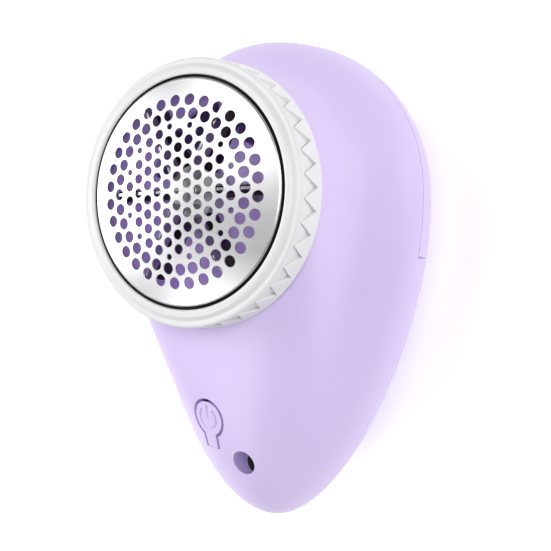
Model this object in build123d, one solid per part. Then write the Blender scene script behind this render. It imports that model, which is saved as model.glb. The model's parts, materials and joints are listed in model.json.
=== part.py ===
from build123d import *
import os
from math import cos, pi, radians, sin, sqrt

# Rechargeable fabric shaver, lying on the flat of its back. All sizes are in millimetres.
# The origin is where the head axis meets the flat rest face. +Z runs up the head axis to the
# perforated foil, +Y points to the round top end and the tapered handle points to -Y.

# Skin of the two-part body
HALF_WIDTH = 39.5
TOP_REACH = 38.3
TIP_REACH = 74.6
WIDEST_Y = 0.8
NECK_HEIGHT = 50.5
PARTING_HEIGHT = 22.5
BACK_SHARE = 0.93
DOME_CENTRE_DROP = 8.0
SHELL_WALL = 2.0
BIN_WALL = 1.6
CIRCLE_PULL = 0.5523
TOP_PULL_X = 0.507
TOP_PULL_Y = 0.61
TIP_PULL_Y = 0.46
TIP_PULL_X = 0.387
NECK_FLARE = 4.45
SHOULDER_FLARE = 1.38
NECK_RISE = 3.2
SHOULDER_RISE = 2.54
HANDLE_SLOPE = 2.26
SHARES = [0, 0.12, 0.25, 0.38, 0.5, 0.6, 0.7, 0.8, 0.9, 1]
BACK_SHARES = [0, 0.25, 0.48, 0.68, 0.83, BACK_SHARE]
INSIDE_SHARES = [0, 0.3, 0.55, 0.75, 0.9, 1]

# Gaps between pieces
SEAM_GAP = 0.2
RUN_GAP = 0.3
SNUG_GAP = 0.1
RUNNING = 0.04

# Division of the back into lint bin and fixed cover
BULKHEAD = 1.6
BULKHEAD_MARGIN = 2.0
TAB_WIDTH = 16.0
TAB_RISE = 4.0
TAB_INSET = 1.6

# Grip ring
RING_STAND = 9.5
LIP_GAP = 0.6
LIP_WIDTH = 1.3
LIP_THICKNESS = 1.3
LIP_EDGE = 0.5
RING_WALL = 2.7
RING_STEP = 1.9
RING_FOOT_EDGE = 0.4
SHOULDER_DROP = 1.8
SHOULDER_ROUND = 1.2
COVE_WIDTH = 1.0
COVE_DEPTH = 0.7
TEETH = 36
TOOTH_DROP = 2.3
TOOTH_LENGTH = 5.2
TOOTH_DEPTH = 0.6
NOTCH_FLOAT = 0.05

# Foil
FOIL_RADIUS = 25.6
FOIL_RISE = 3.2
FOIL_SHEET = 0.3
FOIL_ROLL = 0.7
ROLL_ROUND = 1.2
RETAINER_THICKNESS = 1.5

# Perforation of the foil
RING_HOLE = 2.65
HOLE_MARGIN = 5.19
HOLE_ROW = 3.06
HOLE_SPACING = 3.41
HOLE_PITCH = 3.217
LATTICE_HOLE = 2.25
LATTICE_MARGIN = 2.5
SMALL_HOLE = 1.4
SMALL_BAND = 0.8

# Cutter
BLADES = 6
BLADE_THICKNESS = 0.6
BLADE_INNER = 3.2
BLADE_MARGIN = 3.0
BLADE_GAP = 0.3
ARM_DROP = 3.4
ARM_DEPTH = 3.2
ARM_WIDTH = 2.4
ARM_MARGIN = 1.0
HUB_RADIUS = 6.0
HUB_HEIGHT = 6.8
HUB_RISE = 0.8
CAP_MARGIN = 0.9
CAP_HEIGHT = 1.6
SPRING_WIRE = 0.5
SPRING_CLEARANCE = 1.05
SPRING_POCKET = 2.0
SPRING_TURNS = 3
DRIVE_COLLAR_WALL = 2.2
DRIVE_COLLAR_HEIGHT = 1.6
DRIVE_COLLAR_GAP = 1.0

# Collar of the shell and chamber behind the foil
COLLAR_WALL = 1.9
COLLAR_DEPTH = 4.0
CHAMBER_WALL = 1.2
CHAMBER_DEPTH = 14.4
CHAMBER_DROP = 1.0
FLOOR_THICKNESS = 1.6
FLANGE_WIDTH = 0.9
FLANGE_OVERLAP = 0.5
FLANGE_THICKNESS = 2.0
WINDOW_MARGIN = 1.4
WINDOW_SPAN = 68
WINDOW_CENTRE = 49

# Motor
SHAFT_RADIUS = 1.0
SHAFT_STUB = 1.2
ARMATURE_RADIUS = 6.3
ARMATURE_LENGTH = 14.0
ARMATURE_GAP = 0.6
ARMATURE_DROP = 1.5
MAGNET_GAP = 0.7
MAGNET_SPAN = 84
CAN_RADIUS = 10.1
CAN_WALL = 0.8
CAN_TOP_WALL = 1.2
CAN_LENGTH = 25.0
END_CAP = 2.0
BUSH_WALL = 2.0
BUSH_LENGTH = 3.0
HOUSING_GAP = 0.5
HOUSING_WALL = 1.4
HOUSING_DEPTH = 2.0
MOTOR_SCREW_INSET = 2.1
MOTOR_SCREW_GRIP = 1.0

# Fasteners
PILOT_RADIUS = 1.0
SCREW_FIT = 0.02
HEAD_RADIUS = 1.9
HEAD_HEIGHT = 1.3
HEAD_CLEARANCE = 0.4
CROSS_LENGTH = 2.4
CROSS_WIDTH = 0.6
CROSS_DEPTH = 0.4
BOSS_WALL = 2.4
SCREW_SEAT_DROP = 6.5
SCREW_LENGTH = 12.0
SIDE_SCREW_X = 19.0
SIDE_SCREW_DROP = 17.0
TIP_SCREW_INSET = 6.2

# Power button: a keyhole-shaped tongue in the handle's front face
BUTTON_X = -6.4
BUTTON_INSET = 23.4
BUTTON_RADIUS = 4.7
BUTTON_TURN = -9.0
TONGUE_WIDTH = 4.8
TONGUE_REACH = 7.0
SLOT_WIDTH = 0.7
ROOT_GAP = 0.2
ICON_RADIUS = 2.85
ICON_LINE = 0.7
ICON_DEPTH = 0.35
ICON_BAR = 2.6
ICON_OPENING = 70
STEM_RADIUS = 1.5

# Cell in the handle
CELL_RADIUS = 7.0
CELL_FLOOR = 12.0
CELL_TIP_INSET = 15.1
CELL_GAP = 0.2
CELL_END_GAP = 1.6
CELL_NUB_RADIUS = 2.5
CELL_NUB = 1.0
SLEEVE_WALL = 0.3
TAB_STRIP = 4.0
TAB_THICKNESS = 0.3
TAB_DROP = 3.0
RIB_THICKNESS = 2.0
RIB_WIDTH = 3.0
RIB_HEAD_INSET = 6.5
RIB_TIP_INSET = 9.5

# Board above the cell
TRAY_GAP = 2.2
TRAY_THICKNESS = 1.6
BOARD_STAND = 1.2
BOARD_THICKNESS = 1.2
BOARD_WIDTH = 22.0
BOARD_SHIFT = 3.4
BOARD_HEAD_GAP = 1.5
BOARD_TIP_GAP = 4.0
POST_RADIUS = 2.0
POST_INSET = 2.3
SWITCH_SIZE = 6.0
SWITCH_HEIGHT = 3.5
PLUNGER_RADIUS = 1.75
PLUNGER_RISE = 1.65
PLUNGER_ROOT = 0.7
PLUNGER_GAP = 0.25

# Charging socket beside the button
JACK_X = 0.8
JACK_INSET = 13.2
JACK_HOLE = 2.75
JACK_SLEEVE_WALL = 1.4
JACK_RISE = 0.6
JACK_LENGTH = 6.4
JACK_WALL = 1.55
JACK_BORE = 1.75
JACK_DEPTH = 5.6

# Reach of a cut that passes right through, and the overrun of a shorter one
BIG = 200.0
THROUGH = 1.0

# Radii that follow from the foil outwards and inwards
LIP_RADIUS = FOIL_RADIUS + LIP_GAP
RING_BORE = LIP_RADIUS + LIP_WIDTH
RING_RADIUS = RING_BORE + RING_WALL
NECK_RADIUS = RING_RADIUS - RING_STEP
FLANGE_RADIUS = RING_BORE - SEAM_GAP
COLLAR_RADIUS = RING_BORE - RUN_GAP
COLLAR_BORE = COLLAR_RADIUS - COLLAR_WALL
CHAMBER_RADIUS = COLLAR_BORE - SNUG_GAP
CHAMBER_BORE = CHAMBER_RADIUS - CHAMBER_WALL
BLADE_OUTER = FOIL_RADIUS - BLADE_MARGIN
OUTER_HOLE_CIRCLE = FOIL_RADIUS - HOLE_MARGIN
INNER_HOLE_CIRCLE = OUTER_HOLE_CIRCLE - HOLE_ROW
RING_HOLES = round(2 * pi * INNER_HOLE_CIRCLE / HOLE_SPACING)
LATTICE_RADIUS = INNER_HOLE_CIRCLE - LATTICE_MARGIN
CAP_RADIUS = BLADE_INNER - CAP_MARGIN
SPRING_RADIUS = SHAFT_RADIUS + SPRING_CLEARANCE + SPRING_WIRE / 2
POCKET_RADIUS = SPRING_RADIUS + 2 * SPRING_WIRE
DRIVE_COLLAR_RADIUS = SHAFT_RADIUS + DRIVE_COLLAR_WALL

# Radii that follow from the motor
BUSH_RADIUS = SHAFT_RADIUS + BUSH_WALL
MAGNET_INNER = ARMATURE_RADIUS + MAGNET_GAP
MAGNET_OUTER = CAN_RADIUS - CAN_WALL - SNUG_GAP
CAN_FLATS = 2 * (ARMATURE_RADIUS + ARMATURE_GAP + CAN_WALL)
HOUSING_BORE = CAN_RADIUS + HOUSING_GAP
HOUSING_RADIUS = HOUSING_BORE + HOUSING_WALL
MOTOR_SCREW_REACH = CAN_RADIUS - MOTOR_SCREW_INSET
WINDOW_INNER = HOUSING_RADIUS + CHAMBER_WALL
WINDOW_OUTER = CHAMBER_BORE - WINDOW_MARGIN

# Heights that follow from the neck
BACK_DEPTH = PARTING_HEIGHT / BACK_SHARE
RIM_HEIGHT = NECK_HEIGHT + RING_STAND
LIP_FOOT = RIM_HEIGHT - LIP_THICKNESS
TOOTH_FRONT = RIM_HEIGHT - TOOTH_DROP
TOOTH_REAR = TOOTH_FRONT - TOOTH_LENGTH
FLANGE_TOP = LIP_FOOT - RUN_GAP
RETAINER_TOP = FLANGE_TOP - FOIL_SHEET
RETAINER_FOOT = RETAINER_TOP - RETAINER_THICKNESS
COLLAR_TOP = RETAINER_FOOT - SEAM_GAP
COLLAR_FOOT = NECK_HEIGHT - COLLAR_DEPTH
FLOOR_HEIGHT = COLLAR_TOP - CHAMBER_DEPTH
FLOOR_TOP = FLOOR_HEIGHT + FLOOR_THICKNESS
FOIL_SPHERE = (FOIL_RADIUS**2 + FOIL_RISE**2) / (2 * FOIL_RISE)
FOIL_CENTRE = RIM_HEIGHT + FOIL_RISE - FOIL_SPHERE
ARM_TOP = RIM_HEIGHT - ARM_DROP
HUB_TOP = ARM_TOP + HUB_RISE
HUB_FOOT = HUB_TOP - HUB_HEIGHT
POCKET_TOP = HUB_FOOT + SPRING_POCKET
DRIVE_COLLAR_FOOT = FLOOR_TOP + DRIVE_COLLAR_GAP
DRIVE_COLLAR_TOP = DRIVE_COLLAR_FOOT + DRIVE_COLLAR_HEIGHT
CAN_FOOT = FLOOR_HEIGHT - CAN_LENGTH
ARMATURE_FOOT = CAN_FOOT + END_CAP + ARMATURE_DROP
HOUSING_FOOT = CAN_FOOT - HOUSING_DEPTH
SHAFT_FOOT = CAN_FOOT - SHAFT_STUB
SCREW_SEAT = PARTING_HEIGHT - SCREW_SEAT_DROP
SCREW_END = SCREW_SEAT + SCREW_LENGTH
BOSS_RADIUS = PILOT_RADIUS + BOSS_WALL

# Heights in the handle, stacked on the cell
CELL_HEIGHT = CELL_FLOOR + CELL_RADIUS
TRAY_HEIGHT = CELL_HEIGHT + CELL_RADIUS + TRAY_GAP
BOARD_HEIGHT = TRAY_HEIGHT + TRAY_THICKNESS + BOARD_STAND
BOARD_TOP = BOARD_HEIGHT + BOARD_THICKNESS
SWITCH_TOP = BOARD_TOP + SWITCH_HEIGHT
PLUNGER_TOP = SWITCH_TOP + PLUNGER_RISE
JACK_TOP = BOARD_TOP + JACK_RISE
JACK_RADIUS = JACK_BORE + JACK_WALL

# Places along the handle, from the motor's housing to the tip
SPLIT_Y = -HOUSING_RADIUS - BULKHEAD_MARGIN
BULKHEAD_Y = SPLIT_Y - RUN_GAP
CELL_START = BULKHEAD_Y - BULKHEAD - CELL_END_GAP
CELL_END = -TIP_REACH + CELL_TIP_INSET
RIB_PLACES = [CELL_START - RIB_HEAD_INSET, CELL_END + RIB_TIP_INSET]
BUTTON_Y = -TIP_REACH + BUTTON_INSET
JACK_Y = -TIP_REACH + JACK_INSET
SIDE_SCREW_Y = SPLIT_Y - SIDE_SCREW_DROP
TIP_SCREW_Y = -TIP_REACH + TIP_SCREW_INSET
CASE_SCREWS = [(-SIDE_SCREW_X, SIDE_SCREW_Y), (SIDE_SCREW_X, SIDE_SCREW_Y), (0, TIP_SCREW_Y)]
BOARD_X = BUTTON_X + BOARD_SHIFT
BOARD_START = CELL_START - BOARD_HEAD_GAP
BOARD_END = BUTTON_Y - BOARD_TIP_GAP
TAB_Y = TOP_REACH - SHELL_WALL - BIN_WALL - TAB_INSET


def ramp(share, early, late):
    """Smooth step from 0 to 1, with its own sharpness at each end."""
    rising = share**early
    return rising / (rising + (1 - share) ** late)


def outline(half_width, top, widest, tip, pulls, height):
    """Closed egg-shaped section of four mirrored curves at one height."""
    top_x, top_y, tip_y, tip_x = pulls
    edges = []
    for side in (1, -1):
        wide = side * half_width
        edges.append(
            Bezier(
                (0, top, height),
                (top_x * wide, top, height),
                (wide, widest + top_y * (top - widest), height),
                (wide, widest, height),
            )
        )
        edges.append(
            Bezier(
                (wide, widest, height),
                (wide, widest + tip_y * (tip - widest), height),
                (tip_x * wide, tip, height),
                (0, tip, height),
            )
        )
    return Face(Wire(edges))


def front_section(share, wall):
    """Section of the front skin, from the round neck at 0 to the parting plane at 1."""
    flare = ramp(share, NECK_FLARE, SHOULDER_FLARE)
    rise = ramp(share, NECK_RISE, SHOULDER_RISE)
    slope = 1 - (1 - share) ** HANDLE_SLOPE
    pulls = [
        CIRCLE_PULL + (pull - CIRCLE_PULL) * share
        for pull in (TOP_PULL_X, TOP_PULL_Y, TIP_PULL_Y, TIP_PULL_X)
    ]
    return outline(
        NECK_RADIUS + (HALF_WIDTH - NECK_RADIUS) * flare - wall,
        NECK_RADIUS + (TOP_REACH - NECK_RADIUS) * rise - wall,
        WIDEST_Y * flare,
        -NECK_RADIUS - (TIP_REACH - NECK_RADIUS) * slope + wall,
        pulls,
        NECK_HEIGHT - (NECK_HEIGHT - PARTING_HEIGHT) * share - wall,
    )


def back_section(share, wall):
    """Section of the back dome, from the parting plane at 0 down to the flat."""
    shrink = sqrt(1 - share**2)
    centre = WIDEST_Y - DOME_CENTRE_DROP
    return outline(
        (HALF_WIDTH - wall) * shrink,
        centre + (TOP_REACH - wall - centre) * shrink,
        centre + (WIDEST_Y - centre) * shrink,
        centre + (-TIP_REACH + wall - centre) * shrink,
        (TOP_PULL_X, TOP_PULL_Y, TIP_PULL_Y, TIP_PULL_X),
        PARTING_HEIGHT - (BACK_DEPTH - wall) * share,
    )


def rod(radius, foot, top, x=0, y=0):
    """Upright cylinder between two heights."""
    return Pos(x, y, (foot + top) / 2) * Cylinder(radius, top - foot)


def tube(outer, inner, foot, top):
    """Upright tube between two heights."""
    return rod(outer, foot, top) - rod(inner, foot - THROUGH, top + THROUGH)


def block(x_range, y_range, z_range):
    """Box given by its low and high side along each axis."""
    spans = (x_range, y_range, z_range)
    size = [high - low for low, high in spans]
    return Pos(*[(low + high) / 2 for low, high in spans]) * Box(*size)


def joined(shapes):
    """Union of several shapes."""
    whole = shapes[0]
    for shape in shapes[1:]:
        whole = whole + shape
    return whole


def around(shape, count):
    """Copies of a shape, evenly spaced round the head axis."""
    return [Rot(0, 0, 360 * i / count) * shape for i in range(count)]


def sector(inner, outer, foot, top, span, centre):
    """Ring segment, used for motor magnets and lint windows."""
    ring = tube(outer, inner, foot, top)
    reach = 2 * outer
    half = radians(span / 2)
    rise = reach * sin(half) / cos(half)
    wedge = Polyline((0, 0), (reach, -rise), (reach, rise), close=True)
    cut = Pos(0, 0, foot) * extrude(make_face(wedge), top - foot)
    return Rot(0, 0, centre) * (ring & cut)


def place_key(shape):
    """Turns and moves a piece of the keyhole from the origin to its place."""
    return Pos(BUTTON_X, BUTTON_Y, 0) * Rot(0, 0, BUTTON_TURN) * shape


def keyhole(inset, end_gap):
    """Upright prism with the keyhole's outline: a disc and its tongue."""
    disc = rod(BUTTON_RADIUS - inset, 0, BIG)
    half = TONGUE_WIDTH / 2 - inset
    tongue = block((-half, half), (-TONGUE_REACH + end_gap, 0), (0, BIG))
    return place_key(disc + tongue)


def slice_between(low_y, high_y, foot, top):
    """Whole width of the body between two places along it and two heights."""
    return block((-BIG, BIG), (low_y, high_y), (foot, top))


# The skin's solids, outside and inside
OUTER_FRONT = loft([front_section(share, 0) for share in SHARES])
INNER_FRONT = loft([front_section(share, SHELL_WALL) for share in SHARES])
OUTER_BACK = loft([back_section(share, 0) for share in BACK_SHARES])


def back_inside(wall):
    """Hollow of the back dome, open at the parting plane, for a given wall."""
    floor_share = (PARTING_HEIGHT - wall) / (BACK_DEPTH - wall)
    hollow = loft([back_section(floor_share * share, wall) for share in INSIDE_SHARES])
    return hollow + extrude(back_section(0, wall), THROUGH)


def make_front_shell():
    """Neck and handle front in one moulding, with collar, bulkhead, bosses and openings."""
    shell = OUTER_FRONT - INNER_FRONT - rod(NECK_RADIUS - SHELL_WALL, COLLAR_FOOT, BIG)
    shell = shell + tube(COLLAR_RADIUS, COLLAR_BORE, COLLAR_FOOT, COLLAR_TOP)
    inside = INNER_FRONT & slice_between(-BIG, BIG, PARTING_HEIGHT, BIG)
    wall_top = FLOOR_HEIGHT - RUN_GAP
    features = [slice_between(BULKHEAD_Y - BULKHEAD, BULKHEAD_Y, PARTING_HEIGHT, wall_top)]
    for x, y in CASE_SCREWS:
        features.append(rod(BOSS_RADIUS, PARTING_HEIGHT, BIG, x, y))
    features.append(rod(JACK_HOLE + JACK_SLEEVE_WALL, JACK_TOP, BIG, JACK_X, JACK_Y))
    shell = shell + joined([feature & inside for feature in features])
    cuts = [rod(PILOT_RADIUS + SCREW_FIT, 0, SCREW_END + THROUGH, x, y) for x, y in CASE_SCREWS]
    cuts.append(rod(JACK_HOLE, 0, BIG, JACK_X, JACK_Y))
    return shell - cuts - keyhole(0, 0)


def make_power_button():
    """Tongue cut from the same skin, with a power icon and a stem that meets the switch."""
    tongue = (OUTER_FRONT - INNER_FRONT) & keyhole(SLOT_WIDTH, ROOT_GAP)
    stem = rod(STEM_RADIUS, PLUNGER_TOP, BIG, BUTTON_X, BUTTON_Y) & OUTER_FRONT
    groove = OUTER_FRONT - Pos(0, 0, -ICON_DEPTH) * OUTER_FRONT
    ring = tube(ICON_RADIUS, ICON_RADIUS - ICON_LINE, 0, BIG)
    opening = sector(ICON_LINE, 2 * ICON_RADIUS, 0, BIG, ICON_OPENING, 90)
    half = ICON_LINE / 2
    bar = block((-half, half), (ICON_RADIUS - ICON_BAR, ICON_RADIUS + half), (0, BIG))
    icon = place_key((ring - opening) + bar)
    return tongue + stem - (groove & icon)


def make_rear_shell():
    """Fixed lower half of the back, with its bulkhead, screw wells and cell ribs."""
    shell = (OUTER_BACK - back_inside(SHELL_WALL)) & slice_between(-BIG, BULKHEAD_Y, 0, PARTING_HEIGHT)
    features = [slice_between(BULKHEAD_Y - BULKHEAD, BULKHEAD_Y, 0, PARTING_HEIGHT)]
    for x, y in CASE_SCREWS:
        features.append(rod(BOSS_RADIUS, 0, PARTING_HEIGHT, x, y))
    seat = lying(CELL_RADIUS + CELL_GAP, -BIG, BIG)
    reach = CELL_RADIUS + RIB_WIDTH
    for place in RIB_PLACES:
        rib = block((-reach, reach), (place - RIB_THICKNESS, place), (0, CELL_HEIGHT))
        features.append(rib - seat)
    shell = shell + joined([feature & OUTER_BACK for feature in features])
    cuts = []
    for x, y in CASE_SCREWS:
        cuts.append(rod(HEAD_RADIUS + HEAD_CLEARANCE, -THROUGH, SCREW_SEAT, x, y))
        cuts.append(rod(PILOT_RADIUS + HEAD_CLEARANCE, -THROUGH, BIG, x, y))
    return shell - cuts


def make_lint_bin():
    """Removable upper half of the back: a cup open to the chamber, with a push-in tab."""
    top = PARTING_HEIGHT - SEAM_GAP
    cup = (OUTER_BACK - back_inside(BIN_WALL)) & slice_between(SPLIT_Y, BIG, 0, top)
    wall = slice_between(SPLIT_Y, SPLIT_Y + BIN_WALL, 0, top) & OUTER_BACK
    half = TAB_WIDTH / 2
    tab = block((-half, half), (TAB_Y, TAB_Y + BIN_WALL), (PARTING_HEIGHT / 2, PARTING_HEIGHT + TAB_RISE))
    within = OUTER_BACK + slice_between(SPLIT_Y, TOP_REACH, top - THROUGH, BIG)
    return cup + wall + (tab & within)


def notch(angle):
    """Cutter for one ramp between two teeth of the grip ring's zigzag step."""
    half = RING_RADIUS * sin(pi / TEETH)
    shallow = RING_RADIUS * cos(pi / TEETH) - NOTCH_FLOAT
    deep = RING_RADIUS - TOOTH_DEPTH
    low = [(shallow, -half, TOOTH_FRONT), (shallow, half, TOOTH_FRONT), (deep, 0, TOOTH_REAR)]
    high = [(RING_RADIUS + RING_WALL, y, z) for _, y, z in low]
    faces = [Face(Wire.make_polygon(points)) for points in (low, high)]
    for i in range(3):
        j = (i + 1) % 3
        faces.append(Face(Wire.make_polygon([low[i], low[j], high[j], high[i]])))
    return Rot(0, 0, angle) * Solid(Shell(faces))


def make_grip_ring():
    """White ring that holds the foil, with a rounded lip and a saw-tooth grip step."""
    foot = NECK_HEIGHT + SEAM_GAP
    shoulder = RIM_HEIGHT - SHOULDER_DROP
    edge_half = SHOULDER_ROUND / 2
    cove_end = (RING_RADIUS - SHOULDER_ROUND - COVE_WIDTH, RIM_HEIGHT - COVE_DEPTH)
    with BuildPart() as ring:
        with BuildSketch(Plane.XZ):
            with BuildLine():
                side = Line((RING_BORE, foot), (RING_RADIUS - RING_FOOT_EDGE, foot))
                chamfer = Line(side @ 1, (RING_RADIUS, foot + RING_FOOT_EDGE))
                wall = Line(chamfer @ 1, (RING_RADIUS, shoulder - edge_half))
                edge_end = (RING_RADIUS - SHOULDER_ROUND, shoulder + edge_half)
                edge = TangentArc(wall @ 1, edge_end, tangent=(0, 1))
                cove = Line(edge @ 1, cove_end)
                face = RadiusArc(cove @ 1, (LIP_RADIUS + LIP_EDGE, RIM_HEIGHT), -2 * LIP_WIDTH)
                rim = Line(face @ 1, (LIP_RADIUS, RIM_HEIGHT - LIP_EDGE))
                lip = Line(rim @ 1, (LIP_RADIUS, LIP_FOOT))
                seat = Line(lip @ 1, (RING_BORE, LIP_FOOT))
                Line(seat @ 1, side @ 0)
            make_face()
        revolve(axis=Axis.Z)
    return ring.part - [notch(360 * i / TEETH) for i in range(TEETH)]


def foil_holes():
    """Every perforation: a closely packed middle field inside two rings of larger holes."""
    holes = []
    for circle, phase in ((OUTER_HOLE_CIRCLE, 0.5), (INNER_HOLE_CIRCLE, 0)):
        for i in range(RING_HOLES):
            angle = pi / 2 + 2 * pi * (i + phase) / RING_HOLES
            holes.append((circle * cos(angle), circle * sin(angle), RING_HOLE))
    reach = int(2 * LATTICE_RADIUS / HOLE_PITCH) + 1
    for column in range(-reach, reach + 1):
        for row in range(-reach, reach + 1):
            x = column * HOLE_PITCH * sqrt(3) / 2
            y = row * HOLE_PITCH / 2
            distance = sqrt(x**2 + y**2)
            if (column + row) % 2 or distance > LATTICE_RADIUS:
                continue
            small = distance == 0 or distance > LATTICE_RADIUS - SMALL_BAND
            holes.append((x, y, SMALL_HOLE if small else LATTICE_HOLE))
    return holes


def dome_point(sphere, radius):
    """Point of a sphere about the foil's centre, in the plane of the head axis."""
    return (radius, FOIL_CENTRE + sqrt(sphere**2 - radius**2))


def make_foil():
    """Domed steel sheet with a rolled rim, a short skirt and a flange under the ring's lip."""
    under_sphere = FOIL_SPHERE - FOIL_SHEET
    edge = FOIL_RADIUS - FOIL_ROLL
    skirt_inside = FOIL_RADIUS - FOIL_SHEET
    roll_foot = RIM_HEIGHT - FOIL_ROLL
    crown = (0, FOIL_CENTRE + FOIL_SPHERE)
    crown_under = (0, FOIL_CENTRE + under_sphere)
    with BuildPart() as foil:
        with BuildSketch(Plane.XZ):
            with BuildLine():
                outer = ThreePointArc(
                    crown, dome_point(FOIL_SPHERE, edge / 2), dome_point(FOIL_SPHERE, edge)
                )
                roll = RadiusArc(outer @ 1, (FOIL_RADIUS, roll_foot), FOIL_ROLL * ROLL_ROUND)
                skirt = Line(roll @ 1, (FOIL_RADIUS, FLANGE_TOP))
                flange = Polyline(
                    skirt @ 1,
                    (FLANGE_RADIUS, FLANGE_TOP),
                    (FLANGE_RADIUS, RETAINER_TOP),
                    (skirt_inside, RETAINER_TOP),
                    (skirt_inside, roll_foot),
                )
                inside = Line(flange @ 1, dome_point(under_sphere, edge - FOIL_SHEET))
                under = ThreePointArc(inside @ 1, dome_point(under_sphere, edge / 2), crown_under)
                Line(under @ 1, outer @ 0)
            make_face()
        revolve(axis=Axis.Z)
    drill_top = RIM_HEIGHT + FOIL_RISE + THROUGH
    drills = [rod(size / 2, RIM_HEIGHT - THROUGH, drill_top, x, y) for x, y, size in foil_holes()]
    return foil.part - drills


def make_foil_retainer():
    """Ring that clamps the foil's flange."""
    return tube(FLANGE_RADIUS, COLLAR_BORE, RETAINER_FOOT, RETAINER_TOP)


def make_cutter_hub():
    """White hub with one arm under each blade, bored for the shaft and the spring."""
    half_arm = ARM_WIDTH / 2
    half_slot = BLADE_THICKNESS / 2
    middle = rod(HUB_RADIUS, HUB_FOOT, HUB_TOP)
    arm = block((0, BLADE_OUTER - ARM_MARGIN), (-half_arm, half_arm), (ARM_TOP - ARM_DEPTH, ARM_TOP))
    hub = joined([middle, *around(arm, BLADES)])
    slot = block((BLADE_INNER, BLADE_OUTER), (-half_slot, half_slot), (ARM_TOP, HUB_TOP + THROUGH))
    pocket = rod(POCKET_RADIUS, HUB_FOOT - THROUGH, POCKET_TOP)
    return hub - around(slot, BLADES) - pocket - rod(SHAFT_RADIUS, 0, BIG)


def make_cutter_blades():
    """Upright steel blades whose top edges follow the foil's dome."""
    sphere = FOIL_SPHERE - FOIL_SHEET - BLADE_GAP
    inner, outer = [dome_point(sphere, radius) for radius in (BLADE_INNER, BLADE_OUTER)]
    middle = dome_point(sphere, (BLADE_INNER + BLADE_OUTER) / 2)
    with BuildPart() as blade:
        with BuildSketch(Plane.XZ):
            with BuildLine():
                top = ThreePointArc(inner, middle, outer)
                Polyline(top @ 1, (BLADE_OUTER, ARM_TOP), (BLADE_INNER, ARM_TOP), top @ 0)
            make_face()
        extrude(amount=BLADE_THICKNESS / 2, both=True)
    return Compound(around(blade.part, BLADES))


def make_hub_cap():
    """Steel cap on the end of the shaft."""
    return rod(CAP_RADIUS, HUB_TOP, HUB_TOP + CAP_HEIGHT)


def make_cutter_spring():
    """Short coil between the drive collar and the hub, which presses the blades up."""
    height = POCKET_TOP - DRIVE_COLLAR_TOP - SPRING_WIRE
    path = Helix(height / SPRING_TURNS, height, SPRING_RADIUS)
    path = Pos(0, 0, DRIVE_COLLAR_TOP + SPRING_WIRE / 2) * path
    section = Plane(origin=path @ 0, z_dir=path % 0) * Circle(SPRING_WIRE / 2)
    return sweep(section, path)


def make_drive_collar():
    """Collar on the shaft that carries the spring."""
    return tube(DRIVE_COLLAR_RADIUS, SHAFT_RADIUS, DRIVE_COLLAR_FOOT, DRIVE_COLLAR_TOP)


def motor_screw_holes():
    """Holes for the motor's bush and its two screws."""
    holes = [rod(BUSH_RADIUS, 0, BIG)]
    for side in (-1, 1):
        holes.append(rod(PILOT_RADIUS + SCREW_FIT, 0, BIG, side * MOTOR_SCREW_REACH))
    return holes


def make_cutter_chamber():
    """Cup behind the blades, with a motor seat and two windows that let lint fall to the bin."""
    cup = rod(CHAMBER_RADIUS, FLOOR_HEIGHT, COLLAR_TOP - CHAMBER_DROP)
    cup = cup - rod(CHAMBER_BORE, FLOOR_TOP, BIG)
    flange_outer = CHAMBER_RADIUS + FLANGE_WIDTH
    flange_inner = CHAMBER_RADIUS - FLANGE_OVERLAP
    cup = cup + tube(flange_outer, flange_inner, COLLAR_FOOT - FLANGE_THICKNESS, COLLAR_FOOT)
    foot = FLOOR_HEIGHT - THROUGH
    top = FLOOR_TOP + THROUGH
    windows = []
    for centre in (WINDOW_CENTRE, 180 - WINDOW_CENTRE):
        windows.append(sector(WINDOW_INNER, WINDOW_OUTER, foot, top, WINDOW_SPAN, centre))
    return cup - windows - motor_screw_holes()


def can_shape(radius, flats, foot, top):
    """Upright round bar with two flats."""
    return rod(radius, foot, top) & block((-BIG, BIG), (-flats / 2, flats / 2), (foot, top))


def make_motor_can():
    """Steel can with two flats, closed at the shaft end."""
    bore = CAN_RADIUS - CAN_WALL
    inner = can_shape(bore, CAN_FLATS - 2 * CAN_WALL, 0, FLOOR_HEIGHT - CAN_TOP_WALL)
    can = can_shape(CAN_RADIUS, CAN_FLATS, CAN_FOOT, FLOOR_HEIGHT) - inner
    return can - motor_screw_holes()


def make_motor_end_cap():
    """Plastic cap in the open end of the can."""
    bore = CAN_RADIUS - CAN_WALL
    cap = can_shape(bore, CAN_FLATS - 2 * CAN_WALL, CAN_FOOT, CAN_FOOT + END_CAP)
    return cap - rod(SHAFT_RADIUS + RUNNING, 0, BIG)


def make_motor_magnets():
    """Two curved magnets in the round sides of the can."""
    top = ARMATURE_FOOT + ARMATURE_LENGTH
    return Compound(
        [sector(MAGNET_INNER, MAGNET_OUTER, ARMATURE_FOOT, top, MAGNET_SPAN, side) for side in (0, 180)]
    )


def make_motor_armature():
    """Wound armature on the shaft."""
    return tube(ARMATURE_RADIUS, SHAFT_RADIUS, ARMATURE_FOOT, ARMATURE_FOOT + ARMATURE_LENGTH)


def make_motor_bush():
    """Sintered bush in the chamber's floor."""
    return tube(BUSH_RADIUS, SHAFT_RADIUS + RUNNING, FLOOR_TOP - BUSH_LENGTH, FLOOR_TOP)


def make_motor_shaft():
    """Shaft from the end cap to the hub's top."""
    return rod(SHAFT_RADIUS, SHAFT_FOOT, HUB_TOP)


def make_motor_screws():
    """Two screws through the chamber's floor into the can."""
    screws = []
    for side in (-1, 1):
        x = side * MOTOR_SCREW_REACH
        head = rod(HEAD_RADIUS, FLOOR_TOP, FLOOR_TOP + HEAD_HEIGHT, x)
        screws.append(head + rod(PILOT_RADIUS, FLOOR_HEIGHT - MOTOR_SCREW_GRIP, FLOOR_TOP, x))
    return Compound(screws)


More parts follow.
